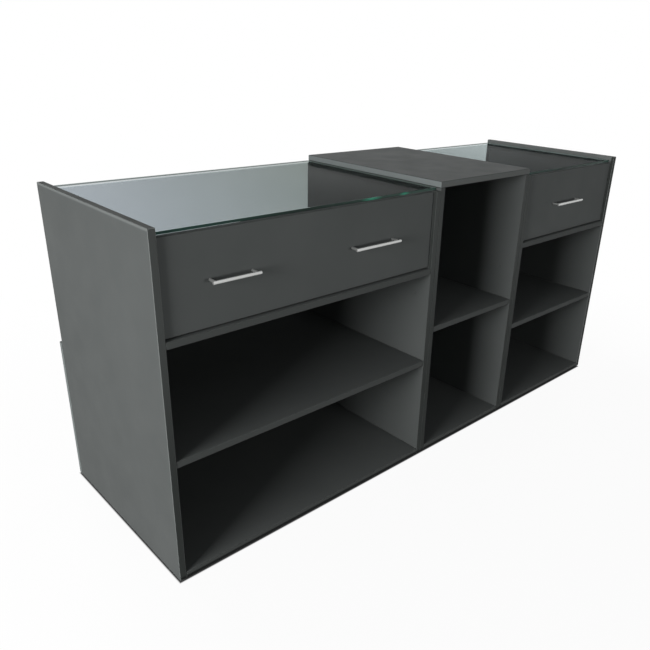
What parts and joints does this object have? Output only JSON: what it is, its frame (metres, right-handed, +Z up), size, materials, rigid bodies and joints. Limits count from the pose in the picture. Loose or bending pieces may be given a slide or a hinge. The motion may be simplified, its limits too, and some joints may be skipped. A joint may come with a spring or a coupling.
{
  "type": "glass display counter",
  "caption": "Straight shop counter in charcoal board: display drawers under glass tops at both ends, open shelves below them and a raised open unit between.",
  "frame": {"origin": "middle of the counter's box at floor level", "axes": "+X along the counter, from the wide display unit to the narrow one; +Y towards the customer side; +Z up"},
  "size_m": [1.95, 0.6384, 0.9095],
  "materials": {
    "charcoal_board": "charcoal grey melamine on 18 mm board, low sheen",
    "clear_glass": "clear float glass with green polished edges",
    "satin_steel": "satin, round bar",
    "runner_steel": "grey powder coat on folded sheet steel",
    "roller_nylon": "off-white nylon",
    "bolt_caps": "charcoal caps"
  },
  "bodies": {
    "carcass": {"left_end_panel": "charcoal_board", "left_inner_side": "charcoal_board", "left_bottom": "charcoal_board", "left_shelf": "charcoal_board", "left_deck": "charcoal_board", "left_customer_panel": "charcoal_board", "left_cladding": "charcoal_board", "left_glass_rest": "charcoal_board", "left_glass_top": "clear_glass", "left_glass_front": "clear_glass", "left_cabinet_runner_left": "runner_steel", "left_cabinet_runner_right": "runner_steel", "left_low_joining_bolt": "bolt_caps", "left_high_joining_bolt": "bolt_caps", "right_end_panel": "charcoal_board", "right_inner_side": "charcoal_board", "right_bottom": "charcoal_board", "right_shelf": "charcoal_board", "right_deck": "charcoal_board", "right_customer_panel": "charcoal_board", "right_cladding": "charcoal_board", "right_glass_rest": "charcoal_board", "right_glass_top": "clear_glass", "right_glass_front": "clear_glass", "right_cabinet_runner_left": "runner_steel", "right_cabinet_runner_right": "runner_steel", "right_low_joining_bolt": "bolt_caps", "right_high_joining_bolt": "bolt_caps", "middle_left_side": "charcoal_board", "middle_right_side": "charcoal_board", "middle_bottom": "charcoal_board", "middle_shelf": "charcoal_board", "middle_top": "charcoal_board", "middle_customer_panel": "charcoal_board", "middle_cladding": "charcoal_board"},
    "left_drawer": {"left_drawer_front": "charcoal_board", "left_tray_left_side": "charcoal_board", "left_tray_right_side": "charcoal_board", "left_tray_back": "charcoal_board", "left_tray_bottom": "charcoal_board", "left_drawer_runner_left": "runner_steel", "left_drawer_runner_right": "runner_steel", "left_handle_1": "satin_steel", "left_handle_2": "satin_steel"},
    "left_front_rollers": {"left_front_roller_left": "roller_nylon", "left_front_roller_right": "roller_nylon"},
    "left_rear_rollers": {"left_rear_roller_left": "roller_nylon", "left_rear_roller_right": "roller_nylon"},
    "right_drawer": {"right_drawer_front": "charcoal_board", "right_tray_left_side": "charcoal_board", "right_tray_right_side": "charcoal_board", "right_tray_back": "charcoal_board", "right_tray_bottom": "charcoal_board", "right_drawer_runner_left": "runner_steel", "right_drawer_runner_right": "runner_steel", "right_handle": "satin_steel"},
    "right_front_rollers": {"right_front_roller_left": "roller_nylon", "right_front_roller_right": "roller_nylon"},
    "right_rear_rollers": {"right_rear_roller_left": "roller_nylon", "right_rear_roller_right": "roller_nylon"}
  },
  "joints": [
    {"name": "left_drawer_slide", "type": "slide", "parent": "carcass", "child": "left_drawer", "axis": [0, -1, 0], "range_m": [0, 0.4]},
    {"name": "left_front_roller_spin", "type": "hinge", "parent": "carcass", "child": "left_front_rollers", "pos_m": [-0.5251, -0.2531, 0.674], "axis": [1, 0, 0], "range_deg": [0, 1912]},
    {"name": "left_rear_roller_spin", "type": "hinge", "parent": "left_drawer", "child": "left_rear_rollers", "pos_m": [-0.5251, 0.2149, 0.674], "axis": [1, 0, 0], "range_deg": [0, 1912]},
    {"name": "right_drawer_slide", "type": "slide", "parent": "carcass", "child": "right_drawer", "axis": [0, -1, 0], "range_m": [0, 0.4]},
    {"name": "right_front_roller_spin", "type": "hinge", "parent": "carcass", "child": "right_front_rollers", "pos_m": [0.6751, -0.2531, 0.674], "axis": [1, 0, 0], "range_deg": [0, 1912]},
    {"name": "right_rear_roller_spin", "type": "hinge", "parent": "right_drawer", "child": "right_rear_rollers", "pos_m": [0.6751, 0.2149, 0.674], "axis": [1, 0, 0], "range_deg": [0, 1912]}
  ],
  "couplings": [
    {"joint": "left_front_roller_spin", "follows": "left_drawer_slide", "rad_per_m": 83.333},
    {"joint": "left_rear_roller_spin", "follows": "left_drawer_slide", "rad_per_m": 83.333},
    {"joint": "right_front_roller_spin", "follows": "right_drawer_slide", "rad_per_m": 83.333},
    {"joint": "right_rear_roller_spin", "follows": "right_drawer_slide", "rad_per_m": 83.333}
  ]
}
